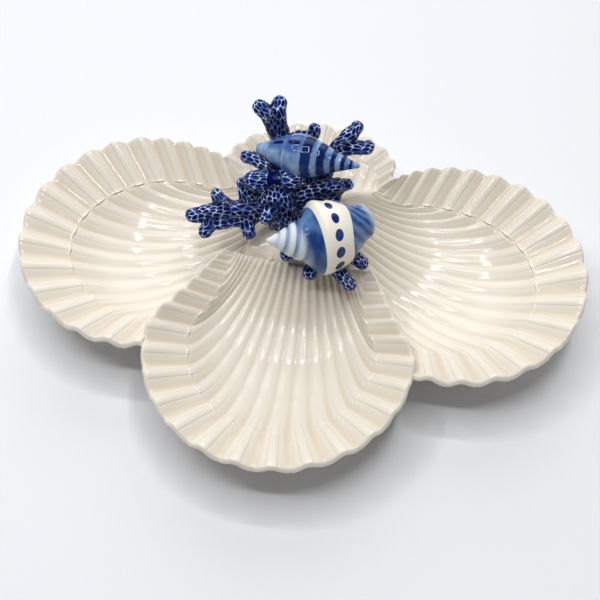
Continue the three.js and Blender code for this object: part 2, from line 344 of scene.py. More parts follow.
# %% Across a flute
FINE_LINE = 0.18
FINE_LINE_WIDTH = 0.026
HALF_FLUTE = np.array([
    0, 0.05, 0.09, 0.12, 0.14, 0.155, 0.168, 0.18, 0.192, 0.205, 0.22, 0.25, 0.29, 0.34, 0.4, 0.455, 0.5,
])


def flute_shares(bowl):
    """Shares across the rim, with the same steps in every flute."""
    steps = np.hstack([-HALF_FLUTE[:0:-1], HALF_FLUTE[:-1]])
    turns = np.arange(bowl["flutes"])[:, None] + 0.5 + steps
    return np.append(turns.ravel(), bowl["flutes"]) / (bowl["flutes"] / 2) - 1


def flute_width(bowl, s):
    """The width of the flute at share s, as a share of the middle one's."""
    return (1 + bowl["crowding"] * (1 - 3 * s ** 2)) / (1 + bowl["crowding"])


def flute_phase(bowl, s):
    """The angle within a flute: zero on its crest, half a turn in the valley."""
    return pi * bowl["flutes"] * s + pi


def flute_wave(phase, sharp):
    """A rounded crest of height 1 above a valley of -1, which is narrower the smaller sharp is."""
    return 2 * np.abs(np.cos(phase / 2)) ** sharp - 1


def fine_lines(phase):
    """One on two thin lines, one on each side of a crest, and zero elsewhere."""
    turns = abs((phase / (2 * pi) + 0.5) % 1 - 0.5)
    return np.exp(-((turns - FINE_LINE) / FINE_LINE_WIDTH) ** 2)


print(len(flute_shares(LARGE_BOWL)), "steps across a large bowl")

# %% Flutes in plan
FAN = radians(84)
BORDER_SLOPE = radians(23.5)
STEEPENING = radians(12)
GROWTH_SCALLOP = 1.2
RIM_SCALLOP = 1.4
RIM_SHARPNESS = 1.2
END_BLEND = 12
WIDEST_BORDER = 0.6
BEND_BACK = 0.08


def hinge_half(bowl):
    """Half the length of the hinge line."""
    return bowl["across"] * sin(bowl["sweep"]) - WALL


def flute_lines(bowl, s):
    """Where each flute starts, bends, crosses the growth line and ends in plan.

    The place round the rim runs ahead of the share s, so that flutes crowd together towards the hinge. The
    outermost ones run straight.
    """
    place = s * (1 + bowl["crowding"] * (1 - s ** 2))
    near_end = place ** END_BLEND
    angle = place * bowl["sweep"]
    drawn = np.clip((abs(angle) - bowl["drawn_from"]) / (bowl["sweep"] - bowl["drawn_from"]), 0, 1)
    waist = bowl["waist"] * np.sin(pi * drawn)
    rim_x = bowl["centre"] + (bowl["along"] - waist) * np.cos(angle)
    rim = np.stack([rim_x, (bowl["across"] - waist) * np.sin(angle)], axis=-1)
    hinge = np.stack([np.full_like(s, bowl["hinge"]), place * hinge_half(bowl)], axis=-1)
    straight = unit(rim - hinge)
    turn = FAN * np.sin(place * pi / 2)
    out = unit(mix(np.stack([np.cos(turn), np.sin(turn)], axis=-1), straight, near_end[:, None]))
    square = unit(np.stack([np.cos(angle) / bowl["along"], np.sin(angle) / bowl["across"]], axis=-1))
    edge = unit(mix(square, straight, near_end[:, None]))
    wave = flute_wave(flute_phase(bowl, s), RIM_SHARPNESS) * flute_width(bowl, s)
    rim = rim + square * (RIM_SCALLOP * wave * (1 - near_end))[:, None]
    full_border = bowl["border"] * (1 - bowl["narrowing"] * abs(place) ** 3)
    border = np.minimum(full_border, WIDEST_BORDER * np.linalg.norm(rim - hinge, axis=-1))
    border = border + GROWTH_SCALLOP * np.cos(flute_phase(bowl, s)) * flute_width(bowl, s)
    growth = rim - out * border[:, None]
    length = np.linalg.norm(growth - hinge, axis=-1)
    bend = growth - out * BEND_BACK * length[:, None]
    slope = BORDER_SLOPE + STEEPENING * abs(place)
    return dict(place=place, edge=edge, out=out, border=border, growth=growth, hinge=hinge, bend=bend,
                length=length, slope=slope)


print("longest flute:", flute_lines(LARGE_BOWL, flute_shares(LARGE_BOWL))["length"].max().round(1), "mm")

# %% [markdown]
# ## A bowl's section
# A bowl's clay has one closed section: from the hinge over the floor to the growth line, up the border, round
# the lip and back under. The second parameter runs along it. A Solidify modifier would be shorter, but the
# real wall is fluted inside and smooth outside, so the two sides get a formula each.

# %% Inside and border without flutes
COURSE_STEPS = 64
END_RISE = 4
END_DROP = 1.0
SHORT_FLUTE_DIP = 1.3


def curve(line, u):
    """The quadratic curve in plan from the hinge, past the bend, to the growth line."""
    hinge, bend, growth = (line[key][:, None] for key in ("hinge", "bend", "growth"))
    return (1 - u) ** 2 * hinge + 2 * u * (1 - u) * bend + u ** 2 * growth


def inside_path(bowl, line, shares):
    """Points along the inside without flutes, how far past the hinge and how far before the growth line.

    The height falls and rises again as a parabola of the distance travelled, shallower on short flutes.
    """
    plan = curve(line, shares[:, None])
    course = curve(line, np.linspace(0, 1, COURSE_STEPS + 1)[:, None])
    steps = np.linalg.norm(np.diff(course, axis=1), axis=-1)
    travelled = np.hstack([np.zeros((len(steps), 1)), np.cumsum(steps, axis=1)])
    whole = travelled[:, -1:]
    below = np.minimum((shares * COURSE_STEPS).astype(int), COURSE_STEPS - 1)
    part = shares * COURSE_STEPS - below
    distance = travelled[:, below] * (1 - part) + travelled[:, below + 1] * part
    w = distance / whole
    growth_height = RIM_HEIGHT - line["border"] * np.tan(line["slope"])
    hinge_height = mix(bowl["hinge_height"], RIM_HEIGHT - END_DROP, line["place"] ** END_RISE)
    middle_growth = RIM_HEIGHT - bowl["border"] * tan(BORDER_SLOPE)
    middle_dip = (bowl["hinge_height"] + middle_growth) / 2 - (RIM_HEIGHT - bowl["floor_drop"])
    dip = middle_dip * (line["length"] / line["length"].max()) ** SHORT_FLUTE_DIP
    height = mix(hinge_height[:, None], growth_height[:, None], w) - dip[:, None] * 4 * w * (1 - w)
    return np.dstack([plan, height]), distance, distance - whole


def border_path(line, shares):
    """Points up the border without flutes, and how far past the growth line each lies."""
    past = line["border"][:, None] * shares
    plan = line["growth"][:, None] + line["out"][:, None] * past[:, :, None]
    height = RIM_HEIGHT - (line["border"][:, None] - past) * np.tan(line["slope"])[:, None]
    return np.dstack([plan, height]), past


# %% Flutes on the inside and the border
INSIDE = np.hstack([np.linspace(0, 0.06, 7), np.linspace(0.09, 0.96, 28), [0.975, 0.985, 0.991, 0.995]])
BORDER = np.hstack([[0.0, 0.006, 0.012, 0.018, 0.026, 0.04, 0.07], np.linspace(0.13, 1, 10)])
END_FADE = 16
NARROWEST_FLUTE = 0.02
STEEP_STRENGTH = 0.95
FLOOR_STRENGTH = 0.55
INNER_LINE_DEPTH = 0.16
OUTER_LINE_DEPTH = 0.22
GROOVE_DEPTH = 0.4
BEAD_HEIGHT = 0.42
VALLEY_POOLING_AND_SHADE = 0.7


def flute_relief(bowl, s):
    """What each flute adds to the plain paths: its phase, half depth, fine lines, thread and valley."""
    phase = flute_phase(bowl, s)[:, None]
    ends = (1 - s ** END_FADE)[:, None]
    width = np.maximum(flute_width(bowl, s), NARROWEST_FLUTE)[:, None]
    crest = (1 + np.cos(phase)) / 2
    return dict(
        phase=phase, depth=bowl["depth"] / 2 * np.sqrt(width) * ends, fine=fine_lines(phase) * ends,
        thread=bowl["thread"] * mix(0.3, 1, ease(0.2, 0.8, crest)),
        valley=ease(0.35, 1, (1 - flute_wave(phase, 1.3)) / 2) * ends,
    )


def lean(direction, slope):
    """Square to a wall that rises at this slope along a direction in plan."""
    return np.hstack([-direction * np.sin(slope)[:, None], np.cos(slope)[:, None]])


def inside_surface(bowl, line, relief):
    """The fluted inside, its pooling and painted shade, with lower floor flutes and a groove by the growth
    line.
    """
    points, after, before = inside_path(bowl, line, INSIDE)
    rise = ease(-30, -1, before)
    strength = mix(mix(STEEP_STRENGTH, FLOOR_STRENGTH, ease(10, 50, after)), STEEP_STRENGTH, rise)
    strength = strength * ease(-1, 3.5, after)
    wave = flute_wave(relief["phase"], mix(1.3, 1.7, rise)) * strength * relief["depth"]
    fine = relief["fine"] * ease(-26, -3, before)
    groove = np.exp(-((before + 0.5) / 0.4) ** 2) * relief["thread"]
    points[:, :, 2] += wave - INNER_LINE_DEPTH * fine - GROOVE_DEPTH * groove
    # darker valleys, fine lines and groove: partly glaze pooling, partly painted shade
    pooling_and_shade = np.maximum(VALLEY_POOLING_AND_SHADE * relief["valley"] * strength, np.maximum(0.3 * fine, 0.8 * groove))
    return points, pooling_and_shade


def border_surface(line, relief):
    """The fluted border, its pooling and painted shade, and the wave of its rim, with a bead along the growth
    line.
    """
    points, past = border_path(line, BORDER)
    wave = flute_wave(relief["phase"], mix(1.7, 1.9, ease(0, 20, past)))
    wave = wave * mix(1.1, 1.7, ease(0, 22, past)) * relief["depth"]
    bead = BEAD_HEIGHT * np.exp(-((past - 0.35) / 0.5) ** 2) * relief["thread"]
    raised = wave - OUTER_LINE_DEPTH * relief["fine"] + bead
    points += lean(line["out"], line["slope"])[:, None] * raised[:, :, None]
    # darker valleys and fine lines: partly glaze pooling, partly painted shade
    pooling_and_shade = np.maximum(VALLEY_POOLING_AND_SHADE * relief["valley"], 0.35 * relief["fine"]) * np.ones_like(past)
    return points, pooling_and_shade, wave[:, -1:]


print(len(INSIDE), "steps inside and", len(BORDER), "up the border")

# %% Lip and outer wall
LIP = np.linspace(0.12, 1, 9)
UNDER = np.linspace(0.9, 0, 7)
UNDER_INSIDE = np.linspace(0.94, 0, 14)
LIP_WALL = 3.8
LIP_REACH = 0.9


def lip_surface(line, brim):
    """Half an ellipse that rolls from the brim round to the outer wall."""
    roll = LIP * pi
    away = np.hstack([line["edge"] * np.cos(line["slope"])[:, None], np.sin(line["slope"])[:, None]])
    down = lean(line["edge"], line["slope"])[:, None] * (LIP_WALL / 2 * (1 - np.cos(roll)))[:, None]
    return brim[:, None] - down + away[:, None] * (LIP_REACH * np.sin(roll))[:, None]


def under_surface(bowl, line, rim_wave):
    """The smooth outer wall below the border and the inside. It takes up the rim's wave near the lip."""
    drop = (WALL / np.cos(line["slope"]))[:, None]
    near_lip = ease(0.4, 1.0, UNDER)
    under = border_path(line, UNDER)[0]
    under[:, :, 2] += rim_wave * near_lip - drop * mix(1, LIP_WALL / WALL, near_lip)
    under_inside = inside_path(bowl, line, UNDER_INSIDE)[0]
    under_inside[:, :, 2] -= drop
    return np.hstack([under, under_inside])


def bowl_section(bowl):
    """The closed section of the bowl at every share s, with its value of pooling and painted shade."""
    s = flute_shares(bowl)
    line = flute_lines(bowl, s)
    relief = flute_relief(bowl, s)
    inside, inside_pooling_and_shade = inside_surface(bowl, line, relief)
    border, border_pooling_and_shade, rim_wave = border_surface(line, relief)
    lip = lip_surface(line, border[:, -1, :])
    under = under_surface(bowl, line, rim_wave)
    plain = np.zeros((len(s), lip.shape[1] + under.shape[1]))
    return np.hstack([inside, border, lip, under]), np.hstack([inside_pooling_and_shade, border_pooling_and_shade, plain])


print(bowl_section(LARGE_BOWL)[0].shape[1], "steps round a large bowl's section")

# %% [markdown]
# ## Bowls on their feet
# Each large bowl stands on a thrown ring. It could be a piece of its own, but on the real bowl it is one clay
# with the shell, so it joins the bowl's mesh. Its profile is carried round the foot's middle.

# %% Foot ring and bowl
FOOT_ROUND_OFF = 1.2
FOOT_SINK = 1.0
FOOT_STEPS = 160


def foot_ring(bowl):
    """A turned ring with a rounded foot: a closed profile carried round the foot's middle."""
    turn = even_turns(FOOT_STEPS)
    half = FOOT_WIDTH / 2
    top = RIM_HEIGHT - bowl["floor_drop"] - FOOT_SINK
    reach = np.array([-half + FOOT_ROUND_OFF, half - FOOT_ROUND_OFF, half, half, -half, -half])
    height = np.array([0, 0, FOOT_ROUND_OFF, top, top, FOOT_ROUND_OFF])
    radius = bowl["foot_radius"] + reach
    ring = np.dstack([
        bowl["foot_at"] + radius * np.cos(turn)[:, None],
        radius * np.sin(turn)[:, None],
        np.broadcast_to(height, (len(turn), len(height))),
    ])
    quads = grid_faces(len(turn) + 1, len(height)) % (len(turn) * len(height))
    return ring.reshape(-1, 3), quads


def turned(points, heading):
    """Points turned about the hub."""
    x, y, z = np.moveaxis(points, -1, 0)
    return np.stack([x * cos(heading) - y * sin(heading), x * sin(heading) + y * cos(heading), z], axis=-1)


def bowl_mesh(name, bowl, heading):
    """The bowl and, where it has one, its foot ring as one mesh."""
    section, pooling_and_shade = bowl_section(bowl)
    points = section.reshape(-1, 3)
    faces = outward(points - points.mean(axis=0), tube_faces(*section.shape[:2]))
    pooling_and_shade = pooling_and_shade.ravel()
    if "foot_at" in bowl:
        ring, quads = foot_ring(bowl)
        quads = outward(ring - [bowl["foot_at"], 0, 0], [quads])[0] + len(points)
        faces = [np.vstack([faces[0], quads]), *faces[1:]]
        points = np.vstack([points, ring])
        pooling_and_shade = np.hstack([pooling_and_shade, np.zeros(len(ring))])
    return make_mesh(name, turned(points, heading), faces, {"pooling_and_shade": pooling_and_shade})


print(len(foot_ring(LARGE_BOWL)[0]), "points in a foot ring")

# %% [markdown]
# ## Where bowls meet
# The potter cuts the shells to fit before luting them. The front and rear ones lie over the side ones, so the
# space above them is taken from the side bowls, and the side bowls' hollows from the rear one. Moving the
# bowls apart would avoid the cuts, but would open gaps at the hub.

# %% Trimming
SKY = 3 * RIM_HEIGHT
PAST_HINGE = 0.6
HOLLOW_END = len(INSIDE) + len(BORDER)
SPACE_START = HOLLOW_END + 2
SHARP_CUT = radians(55)


def under_lid(surface):
    """A tool's rings: a surface of the bowl, closed by a flat lid high above its first and last lines."""
    lid = surface[:, [0, -1]]
    lid[:, :, 2] = SKY
    return np.hstack([lid[:, :1], surface, lid[:, 1:]])


def space_mesh(name, bowl, heading):
    """Everything above a bowl's outer wall, from a little past the ends of its hinge."""
    section = bowl_section(bowl)[0]
    rings = under_lid(section[:, SPACE_START:])
    past = np.array([PAST_HINGE, 0, 0])
    rings = np.vstack([rings[:1] - past, rings, rings[-1:] - past])
    return tube_mesh(name, turned(rings, heading), {})


def hollow_mesh(name, bowl, heading):
    """Everything above a bowl's inside and border."""
    section = bowl_section(bowl)[0]
    rings = under_lid(section[:, :HOLLOW_END])
    return tube_mesh(name, turned(rings, heading), {})


def trimmed(mesh, tools):
    """The mesh with the tools' space taken away."""
    body = add_object(mesh.name, mesh)
    cutters = []
    for tool in tools:
        cutter = add_object(tool.name, tool)
        cut = body.modifiers.new(tool.name, "BOOLEAN")
        cut.operation = "DIFFERENCE"
        cut.solver = "MANIFOLD"
        cut.object = cutter
        cutters.append(cutter)
    graph = bpy.context.evaluated_depsgraph_get()
    result = bpy.data.meshes.new_from_object(body.evaluated_get(graph))
    for item in [body, *cutters]:
        bpy.data.objects.remove(item)
    result.set_sharp_from_angle(angle=SHARP_CUT)
    return result


# %% The four bowls
FRONT = -pi / 2 - FRONT_TURN
REAR = pi / 2 + REAR_TURN
LEFT = pi + SIDE_TURN
RIGHT = -SIDE_TURN
spaces = [space_mesh("front_space", LARGE_BOWL, FRONT), space_mesh("rear_space", SHORT_BOWL, REAR)]
hollows = [hollow_mesh("left_hollow", SIDE_BOWL, LEFT), hollow_mesh("right_hollow", RIGHT_BOWL, RIGHT)]
add_piece("front_dish", bowl_mesh("front", LARGE_BOWL, FRONT), CREAM)
add_piece("rear_dish", trimmed(bowl_mesh("rear", SHORT_BOWL, REAR), hollows), CREAM)
add_piece("left_dish", trimmed(bowl_mesh("left", SIDE_BOWL, LEFT), spaces), CREAM)
add_piece("right_dish", trimmed(bowl_mesh("right", RIGHT_BOWL, RIGHT), spaces), CREAM)

# %% [markdown]
# ## The mound at the hub
# A low mound of clay covers the four hinge lines and carries the coral. A dome would do, but the real one
# runs out over the joints. So its edge is a rounded polygon of the hinge lines, with lobes at the corners,
# and its parameters are a turn about the hub and a share of the way out.

# %% Edge of the mound
MOUND_ROUNDING = 10.0
FRONT_LOBE_POWER = 16
FRONT_LOBE_REACH = np.array([0, 0, 0.5, 0.5])
REAR_LOBE_POWER = 24
REAR_LOBE_REACH = 0.13


def front_corners():
    """The turns at which the front hinge line ends."""
    corner = atan2(hinge_half(LARGE_BOWL), LARGE_BOWL["hinge"])
    return [FRONT - corner, FRONT + corner]


def rear_corners():
    """The turns at which the rear hinge line crosses the side ones."""
    near = SHORT_BOWL["hinge"]
    turns = []
    for heading in (LEFT, RIGHT):
        apart = (heading - REAR + pi) % (2 * pi) - pi
        crossing = atan2(SIDE_BOWL["hinge"] - near * cos(apart), near * sin(abs(apart)))
        turns.append(REAR + np.sign(apart) * crossing)
    return turns


def lobes(turn, corners, power):
    """One at each corner, falling off beside it as a power of the cosine."""
    return sum(np.maximum(np.cos(turn - corner), 0) ** power for corner in corners)


def mound_edge(turn):
    """How far the mound reaches at each turn, and how near the turn is to a front or a rear corner.

    Nearness to a hinge line is the cosine over its distance. High powers of it, added up, round the corners.
    """
    headings = np.array([FRONT, REAR, LEFT, RIGHT])
    hinges = np.array([bowl["hinge"] for bowl in (LARGE_BOWL, SHORT_BOWL, SIDE_BOWL, RIGHT_BOWL)])
    front = lobes(turn, front_corners(), FRONT_LOBE_POWER)
    rear = lobes(turn, rear_corners(), REAR_LOBE_POWER)
    reach = hinges * (1 + FRONT_LOBE_REACH * front[:, None])
    reach = reach * (1 + REAR_LOBE_REACH * rear[:, None])
    nearness = np.maximum(np.cos(turn[:, None] - headings), 0) / reach
    return 1 / (nearness ** MOUND_ROUNDING).sum(axis=1) ** (1 / MOUND_ROUNDING), front, rear


print("mound corners at", np.degrees(front_corners() + rear_corners()).round(), "degrees")

# %% Mound
MOUND_STEPS = 480
MOUND_ROWS = 56
MOUND_WALL = 5.0
MOUND_SKIRT = 5.0
LOBE_SKIRT = 2.0
MOUND_FALL = 1.4
LOBE_FALL = 1.2
MOUND_EYE = 0.02
MOUND_SPREAD = 17.0
MOUND_LOW = LARGE_BOWL["hinge_height"] - 0.6
MOUND_HIGH = RIM_HEIGHT - 2.4
# an even painted shade over the whole mound, darker beige than the open bowls
MOUND_PAINTED_SHADE = 0.3


def mound_mesh():
    """Rows run out from the middle to a skirt past the mound's edge, then back underneath.

    The height dies away exponentially from the top to the edge, and the skirt dives straight into the bowls.
    """
    turn = even_turns(MOUND_STEPS)
    edge, front, rear = mound_edge(turn)
    share = np.linspace(MOUND_EYE, 1, MOUND_ROWS)
    radius = share[:, None] * (edge + MOUND_SKIRT + LOBE_SKIRT * front)
    inside = edge - radius
    base = mix(MOUND_LOW, MOUND_HIGH, front + rear)
    rise = (MOUND_TOP - base) * (1 - np.exp(-np.maximum(inside, 0) / MOUND_SPREAD))
    fall = (MOUND_FALL + LOBE_FALL * front) * np.minimum(inside, 0)
    top = np.dstack([radius * np.cos(turn), radius * np.sin(turn), base + rise + fall])
    points = np.vstack([top, top[::-1] - [0, 0, MOUND_WALL]])
    # painted shade: every point of the mound gets the same darker beige
    return tube_mesh("mound", points, {"pooling_and_shade": np.full(points.shape[:2], MOUND_PAINTED_SHADE)})


add_piece("centre_boss", mound_mesh(), CREAM)

# %% [markdown]
# ## Curves for coils and shells
# Coils and shells follow bent lines. Blender's curves could carry them, but the glaze needs to know how far
# along and how far round each point lies. So a smooth line runs through a few points, is sampled at even
# steps, and gets two directions square to it at each step.


# %% Curves
def smooth_values(values, count):
    """Values of a smooth curve through even knots, at even shares: a cubic from each knot to the next."""
    knots = np.asarray(values, float)
    knots = knots.reshape(len(knots), -1)
    padded = np.vstack([2 * knots[:1] - knots[1:2], knots, 2 * knots[-1:] - knots[-2:-1]])
    place = np.linspace(0, len(knots) - 1, count)
    below = np.minimum(place.astype(int), len(knots) - 2)
    t = (place - below)[:, None]
    a, b, c, d = (padded[below + k] for k in range(4))
    bend = t ** 2 * (2 * a - 5 * b + 4 * c - d) / 2
    return b + t * (c - a) / 2 + bend + t ** 3 * (3 * b - a - 3 * c + d) / 2


def even_line(points, count):
    """A smooth line through the points, sampled at even distances, with its length."""
    fine = smooth_values(points, 400)
    travelled = np.hstack([0, np.cumsum(np.linalg.norm(np.diff(fine, axis=0), axis=1))])
    wanted = np.linspace(0, travelled[-1], count)
    line = np.stack([np.interp(wanted, travelled, fine[:, k]) for k in range(3)], axis=-1)
    return line, travelled[-1]


def frames_along(line, guide):
    """The line's direction, and two directions square to it, the second as near the guide as it can be."""
    along = unit(np.gradient(line, axis=0))
    side = unit(np.cross(along, guide))
    up = np.cross(side, along)
    return along, side, up


print("a bend through three points:", round(even_line([[1, 0, 0], [0.7, 0.7, 0], [0, 1, 0]], 9)[1], 2))

# %% [markdown]
# ## Coral
# Each branch is a rolled coil of clay with a round tip, luted to the next one with slip. Metaballs would run
# them together, but each coil is a piece of its own. So a coil is a tapering tube that swells where it meets
# another. The list gives the radii at the root and the tip, and points along the coil above the mound's top.

# %% Coils
COILS = {
    "coral_trunk": (11, 12, [[-10, -6, -8], [-17, -8, 6], [-20, -6, 19]]),
    "coral_rear_trunk": (7, 6, [[-12, 12, -8], [-17, 19, 16], [-20, 25, 34], [-24, 29, 45]]),
    "coral_rear_left_tip": (5, 4.7, [[-22, 27, 40], [-29, 32, 48], [-35, 35, 52]]),
    "coral_rear_right_tip": (5, 5, [[-24, 29, 44], [-23, 34, 50], [-23, 38, 53.5]]),
    "coral_rear_spur": (4.6, 3, [[-18, 24, 29], [-12, 31, 32], [-5, 35, 31]]),
    "coral_back_branch": (5, 4, [[0, 18, -8], [-3, 30, 16], [-1, 41, 30]]),
    "coral_right_rear_branch": (6, 4.5, [[4, 10, -8], [8, 16, 14], [17, 26, 35], [26, 34, 43]]),
    "coral_right_rear_tip": (5, 4.6, [[14, 22, 30], [21, 24, 34], [34, 27, 34]]),
    "coral_knob": (7, 7, [[-32, -6, 30], [-20, -3, 29], [-9, -1, 30]]),
    "coral_upper_left_branch": (5, 4.5, [[-16, 2, 18], [-25, 7, 27], [-34, 11, 30], [-40, 13, 29]]),
    "coral_right_branch": (5.5, 4.6, [[-12, -4, 14], [4, 0, 20], [18, 4, 23]]),
    "coral_right_small_tip": (4.6, 4, [[8, 0, 18], [16, 4, 17], [24, 8, 19]]),
    "coral_right_lower_branch": (5, 4.2, [[-8, -5, 8], [6, -3, 12], [17, 1, 12]]),
    "coral_left_branch": (6.5, 5, [[-12, -8, 12], [-36, -16, 14], [-55, -19, 12], [-69, -22, 9]]),
    "coral_left_fork": (5, 4.6, [[-28, -15, 11], [-46, -23, 9], [-56, -25, 7], [-60, -30, 5]]),
    "coral_left_spur": (4.5, 4, [[-47, -17, 13], [-53, -13, 16], [-56, -10, 17]]),
    "coral_left_rear_spur": (4.8, 4, [[-31, -14, 14], [-38, -9, 20], [-40, -4, 24]]),
    "coral_left_front_spur": (5, 4.4, [[-32, -15, 13], [-34, -24, 8], [-33, -28, 5]]),
    "coral_middle_tip": (4.6, 4, [[-16, -9, 15], [-21, -19, 18], [-23, -24, 17]]),
    "coral_front_left_tip": (5, 4.4, [[2, -20, -4], [-3, -30, 0], [-8, -37, -1]]),
    "coral_front_tip": (5, 4.6, [[8, -18, -5], [10, -36, -1], [8, -48, -2]]),
    "coral_front_right_tip": (5.5, 4.6, [[16, -18, -5], [20, -38, 0], [33, -52, -3]]),
    "coral_far_right_tip": (5, 4.6, [[22, -16, -5], [28, -30, 1], [39, -37, 0]]),
}
BALLS_IN_COIL = 32


def coil_balls(name):
    """A coil as a close row of balls, with which distances to it are measured."""
    root, tip, points = COILS[name]
    return even_line(points, BALLS_IN_COIL)[0], np.linspace(root, tip, BALLS_IN_COIL)


BALLS = {name: coil_balls(name) for name in COILS}


def distance_to_others(points, name):
    """How far each point lies outside the nearest other coil, negative inside it."""
    nearest = np.full(len(points), 1e3)
    for other, (line, radius) in BALLS.items():
        if other == name:
            continue
        gap = np.linalg.norm(points[:, None] - line, axis=-1) - radius
        nearest = np.minimum(nearest, gap.min(axis=1))
    return nearest


print(len(COILS), "coils,", round(sum(even_line(coil[2], 2)[1] for coil in COILS.values())), "mm in all")

# %% A coil's skin
GRAIN = 0.3
COIL_GUIDE = np.array([0.35, 0.8, 0.48])


def with_ends(axis, count):
    """Rows of a tube with the first and last row repeated for its two round ends."""
    return np.vstack([np.repeat(axis[:1], count, axis=0), axis, np.repeat(axis[-1:], count, axis=0)])


def coil_grid(name):
    """Points of a tapering tube with round ends, the way out from its line, and the tube laid out straight.

    Quarter circles close the tube: there the line runs on by the cosine, and the radius shrinks by the sine.
    """
    root, tip, course = COILS[name]
    length = even_line(course, 3)[1]
    rows = int(length / GRAIN)
    line = even_line(course, rows)[0]
    along, side, up = frames_along(line, COIL_GUIDE)
    ends = int(pi / 2 * tip / GRAIN)
    quarter = np.linspace(0.04, 1, ends, endpoint=False) * pi / 2
    back = np.cos(quarter)
    ahead = np.cos(quarter[::-1])
    start = line[:1] - along[:1] * (root * back)[:, None]
    finish = line[-1:] + along[-1:] * (tip * ahead)[:, None]
    middle = np.vstack([start, line, finish])
    radius = np.hstack([root * np.sin(quarter), np.linspace(root, tip, rows), tip * np.sin(quarter[::-1])])
    lean_back = np.hstack([back, np.zeros(rows), -ahead])
    reach = np.hstack([-root * back, np.linspace(0, length, rows), length + tip * ahead])
    along, side, up = (with_ends(axis, ends) for axis in (along, side, up))
    turn = even_turns(int(2 * pi * max(root, tip) / GRAIN))
    spoke = side[:, None] * np.cos(turn)[:, None] + up[:, None] * np.sin(turn)[:, None]
    points = middle[:, None] + spoke * radius[:, None, None]
    upright = np.sqrt(1 - lean_back ** 2)
    normal = spoke * upright[:, None, None] - along[:, None] * lean_back[:, None, None]
    straight = np.dstack([
        np.broadcast_to(reach[:, None], points.shape[:2]),
        radius[:, None] * np.cos(turn),
        radius[:, None] * np.sin(turn),
    ])
    return points, normal, straight, length


print("trunk's grid:", coil_grid("coral_trunk")[0].shape[:2])

# %% [markdown]
# ## The coral's net
# A net of fine pale lines covers the coral, with a dark pit in each cell. A Voronoi texture could draw it,
# but can't raise the skin. So seeds are strewn over the straight tube, and every point knows how far it lies
# from the wall between its cell and the next, and from its own seed.

# %% Cells on the skin
CELL = 2.6
STRETCH = 1.9
ROUNDING = 4.5
CLOSEST_SEEDS = 0.66
FEWEST_SEEDS = 12
SPARE_SEEDS = 1.15
TRIES = 4


def strewn_seeds(flat, chance):
    """Points of the skin picked by chance, none too near an earlier one. The first sits on the tip."""
    wanted = max(FEWEST_SEEDS, int(len(flat) * GRAIN ** 2 / CELL ** 2 / STRETCH * SPARE_SEEDS))
    seeds = flat[chance.choice(len(flat), size=wanted * TRIES, replace=False)]
    seeds[0] = flat[-1]
    keep = np.ones(len(seeds), bool)
    gaps = np.linalg.norm(seeds[:, None] - seeds, axis=-1)
    for place in range(1, len(seeds)):
        keep[place] = not (gaps[place, :place][keep[:place]] < CLOSEST_SEEDS * CELL).any()
    return seeds[keep]


def cell_pattern(straight, name):
    """How far each point lies from the wall and from the seed of its cell, and a tone for the cell.

    The straight tube is shortened, so that cells come out long. The wall is halfway between the two nearest
    seeds, and a soft minimum with the wall to the third one rounds the corners.
    """
    chance = np.random.default_rng(sum(map(ord, name)))
    flat = straight.reshape(-1, 3) / [STRETCH, 1, 1]
    seeds = strewn_seeds(flat, chance)
    squared = (flat ** 2).sum(axis=1)[:, None] + (seeds ** 2).sum(axis=1) - 2 * flat @ seeds.T
    distance = np.sqrt(np.maximum(squared, 0))
    order = np.argpartition(distance, 2, axis=1)[:, :3]
    nearest = np.take_along_axis(distance, order, axis=1)
    sort = np.argsort(nearest, axis=1)
    order = np.take_along_axis(order, sort, axis=1)
    nearest = np.take_along_axis(nearest, sort, axis=1)
    apart = np.linalg.norm(seeds[order[:, 1:]] - seeds[order[:, :1]], axis=-1)
    walls = (nearest[:, 1:] ** 2 - nearest[:, :1] ** 2) / (2 * apart)
    rounded = -np.log(np.exp(-ROUNDING * walls).sum(axis=1)) / ROUNDING
    return np.maximum(rounded, 0), nearest[:, 0], chance.random(len(seeds))[order[:, 0]]


print("cells about", CELL, "by", round(CELL * STRETCH, 1), "mm")

# %% Coil meshes
JOINT_WIDTH = 5.0
LUMP = 0.25
LUMP_WAVES = np.array([0.31, 0.43, 0.37])
WALL_RISE = 0.16
WALL_WIDTH = 0.35
PIT_DEPTH = 0.25
KNOB_MIDDLE = 0.2
KNOB_WOBBLE = 0.035
KNOB_PINCH = 1.5


def knob_band(straight, length):
    """Each point's distance to the knob's two wavy rings, whether it lies between them, and its pinch."""
    off_middle = abs(straight[:, :, 0].ravel() - length / 2)
    turn = np.arctan2(straight[:, :, 2], straight[:, :, 1]).ravel()
    ring = length * (KNOB_MIDDLE + KNOB_WOBBLE * np.cos(3 * turn))
    pinch = -KNOB_PINCH * np.exp(-(off_middle / (KNOB_MIDDLE * length)) ** 2)
    return abs(off_middle - ring), off_middle < ring, pinch


def coil_mesh(name):
    """A coil with its swollen joints and pitted skin: every point moves out by the sum of these reliefs."""
    points, normal, straight, length = coil_grid(name)
    flat = points.reshape(-1, 3)
    wall, seed, tone = cell_pattern(straight, name)
    pinch = 0
    if name == "coral_knob":
        ring, middle, pinch = knob_band(straight, length)
        wall = np.where(middle, ring, np.minimum(wall, ring))
        seed = np.where(middle, CELL, seed)
        tone = np.where(middle, 0.0, tone)
    gap = abs(distance_to_others(flat, name))
    swell = np.clip(1 - gap / JOINT_WIDTH, 0, 1) ** 2 * JOINT_WIDTH / 4
    lump = LUMP * np.sin(flat @ LUMP_WAVES + len(name)) - LUMP
    net = WALL_RISE * np.exp(-(wall / WALL_WIDTH) ** 2) - PIT_DEPTH * (1 - ease(0.5, 1.2, seed))
    flat = flat + normal.reshape(-1, 3) * (swell + lump + net + pinch)[:, None] + [0, 0, MOUND_TOP]
    # one near other coils: for pooled blue and painted shade in the joints
    attributes = {"wall": wall, "seed": seed, "tone": tone, "joint_pool_and_shade": 1 - ease(0, JOINT_WIDTH, gap)}
    return tube_mesh(name, flat.reshape(points.shape), attributes)


